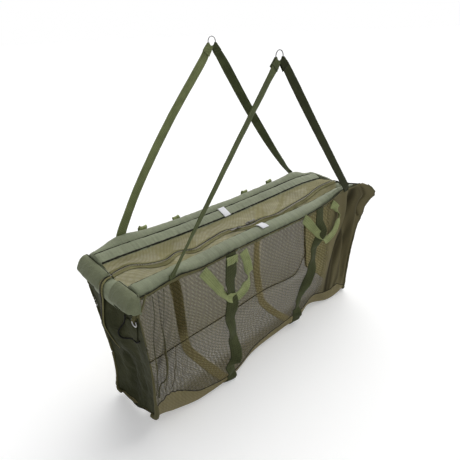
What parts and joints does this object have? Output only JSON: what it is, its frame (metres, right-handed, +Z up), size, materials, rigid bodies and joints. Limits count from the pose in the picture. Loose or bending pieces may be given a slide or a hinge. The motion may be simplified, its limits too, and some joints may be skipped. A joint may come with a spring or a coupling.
{
  "type": "carp sack",
  "caption": "Long mesh carp sack with foam floats round a zipped mouth, webbing grab handles and a weigh strap with a steel ring along each side.",
  "frame": {"origin": "middle of the sack's length and width, on the surface that it stands on", "axes": "X along the sack, +Z up, -Y towards the near side"},
  "size_m": [1.1262, 0.3112, 1.0682],
  "materials": {
    "float_cover": "plain woven nylon, sage green",
    "foam": "closed-cell foam",
    "wall_mesh": "fine open mesh, brown",
    "end_nylon": "coated nylon, dark green",
    "top_mesh": "fine open mesh, tan",
    "zip_tape": "woven tape, olive",
    "zip_teeth": "moulded teeth",
    "zip_metal": "nickel plated",
    "strap_webbing": "ribbed webbing, dark olive",
    "handle_webbing": "ribbed webbing, light olive",
    "ring_steel": "bright steel wire",
    "pale_patch": "plain pale cloth"
  },
  "bodies": {
    "sack": {"near_float_cover": "float_cover", "far_float_cover": "float_cover", "left_near_end_cover": "float_cover", "left_far_end_cover": "float_cover", "right_near_end_cover": "float_cover", "right_far_end_cover": "float_cover", "near_float_foam": "foam", "far_float_foam": "foam", "left_near_end_foam": "foam", "left_far_end_foam": "foam", "right_near_end_foam": "foam", "right_far_end_foam": "foam", "near_wall_mesh": "wall_mesh", "far_wall_mesh": "wall_mesh", "bottom_mesh": "wall_mesh", "left_end_panel": "end_nylon", "right_end_panel": "end_nylon", "left_end_patch": "end_nylon", "left_end_zip_tape": "zip_tape", "right_end_zip_tape": "zip_tape", "left_end_zip_chain": "zip_teeth", "right_end_zip_chain": "zip_teeth", "near_edge_binding": "zip_tape", "far_edge_binding": "zip_tape", "left_near_corner_binding": "zip_tape", "left_far_corner_binding": "zip_tape", "right_near_corner_binding": "zip_tape", "right_far_corner_binding": "zip_tape", "left_belly_strap": "strap_webbing", "right_belly_strap": "strap_webbing", "near_left_strap_foot": "strap_webbing", "near_right_strap_foot": "strap_webbing", "far_left_strap_foot": "strap_webbing", "far_right_strap_foot": "strap_webbing", "near_label_patch": "pale_patch", "far_label_patch": "pale_patch", "end_ring_tab": "zip_tape"},
    "near_flap": {"near_top_mesh": "top_mesh", "near_zip_tape": "zip_tape", "near_zip_teeth": "zip_teeth"},
    "far_flap": {"far_top_mesh": "top_mesh", "far_zip_tape": "zip_tape", "far_zip_teeth": "zip_teeth"},
    "left_slider_body": {"left_slider": "zip_metal"},
    "right_slider_body": {"right_slider": "zip_metal"},
    "left_pull": {"left_pull_tab": "zip_metal"},
    "right_pull": {"right_pull_tab": "zip_metal"},
    "near_strap": {"near_left_strap_leg": "strap_webbing", "near_right_strap_leg": "strap_webbing"},
    "far_strap": {"far_left_strap_leg": "strap_webbing", "far_right_strap_leg": "strap_webbing"},
    "near_ring": {"near_weigh_ring": "ring_steel"},
    "far_ring": {"far_weigh_ring": "ring_steel"},
    "near_left_grip": {"near_left_handle": "handle_webbing"},
    "near_right_grip": {"near_right_handle": "handle_webbing"},
    "far_left_grip": {"far_left_handle": "handle_webbing"},
    "far_right_grip": {"far_right_handle": "handle_webbing"},
    "end_ring_body": {"end_ring": "ring_steel"}
  },
  "joints": [
    {"name": "near_flap_hinge", "type": "hinge", "parent": "sack", "child": "near_flap", "pos_m": [0, -0.0485, 0.478], "axis": [1, 0, 0], "range_deg": [0, 60]},
    {"name": "far_flap_hinge", "type": "hinge", "parent": "sack", "child": "far_flap", "pos_m": [0, 0.0485, 0.478], "axis": [-1, 0, 0], "range_deg": [0, 60]},
    {"name": "left_slider_run", "type": "slide", "parent": "far_flap", "child": "left_slider_body", "axis": [-1, 0, 0], "range_m": [0, 0.33]},
    {"name": "right_slider_run", "type": "slide", "parent": "far_flap", "child": "right_slider_body", "axis": [1, 0, 0], "range_m": [0, 0.37]},
    {"name": "left_pull_hinge", "type": "hinge", "parent": "left_slider_body", "child": "left_pull", "pos_m": [-0.0543, -0.012, 0.4856], "axis": [0, 1, 0], "range_deg": [0, 120]},
    {"name": "right_pull_hinge", "type": "hinge", "parent": "right_slider_body", "child": "right_pull", "pos_m": [-0.0057, -0.012, 0.4856], "axis": [0, -1, 0], "range_deg": [0, 120]},
    {"name": "near_strap_hinge", "type": "hinge", "parent": "sack", "child": "near_strap", "pos_m": [0, -0.1348, 0.5195], "axis": [1, 0, 0], "range_deg": [-13.5, 150]},
    {"name": "far_strap_hinge", "type": "hinge", "parent": "sack", "child": "far_strap", "pos_m": [0, 0.1348, 0.5195], "axis": [-1, 0, 0], "range_deg": [-13.5, 150]},
    {"name": "near_ring_tilt", "type": "hinge", "parent": "near_strap", "child": "near_ring", "pos_m": [0, -0.1348, 1.00449], "axis": [1, 0, 0], "range_deg": [-22, 22]},
    {"name": "far_ring_tilt", "type": "hinge", "parent": "far_strap", "child": "far_ring", "pos_m": [0, 0.1348, 1.04016], "axis": [1, 0, 0], "range_deg": [-22, 22]},
    {"name": "near_left_handle_swing", "type": "hinge", "parent": "sack", "child": "near_left_grip", "pos_m": [-0.227, -0.1327, 0.48], "axis": [-1, 0, 0], "range_deg": [0, 165]},
    {"name": "near_right_handle_swing", "type": "hinge", "parent": "sack", "child": "near_right_grip", "pos_m": [0.227, -0.1327, 0.48], "axis": [-1, 0, 0], "range_deg": [0, 165]},
    {"name": "far_left_handle_swing", "type": "hinge", "parent": "sack", "child": "far_left_grip", "pos_m": [-0.227, 0.1327, 0.48], "axis": [1, 0, 0], "range_deg": [0, 165]},
    {"name": "far_right_handle_swing", "type": "hinge", "parent": "sack", "child": "far_right_grip", "pos_m": [0.227, 0.1327, 0.48], "axis": [1, 0, 0], "range_deg": [0, 165]},
    {"name": "end_ring_swing", "type": "hinge", "parent": "sack", "child": "end_ring_body", "pos_m": [-0.5325, -0.113, 0.43], "axis": [0, 1, 0], "range_deg": [0, 140]}
  ],
  "couplings": [
    {"joint": "far_flap_hinge", "follows": "near_flap_hinge", "ratio": 1}
  ]
}
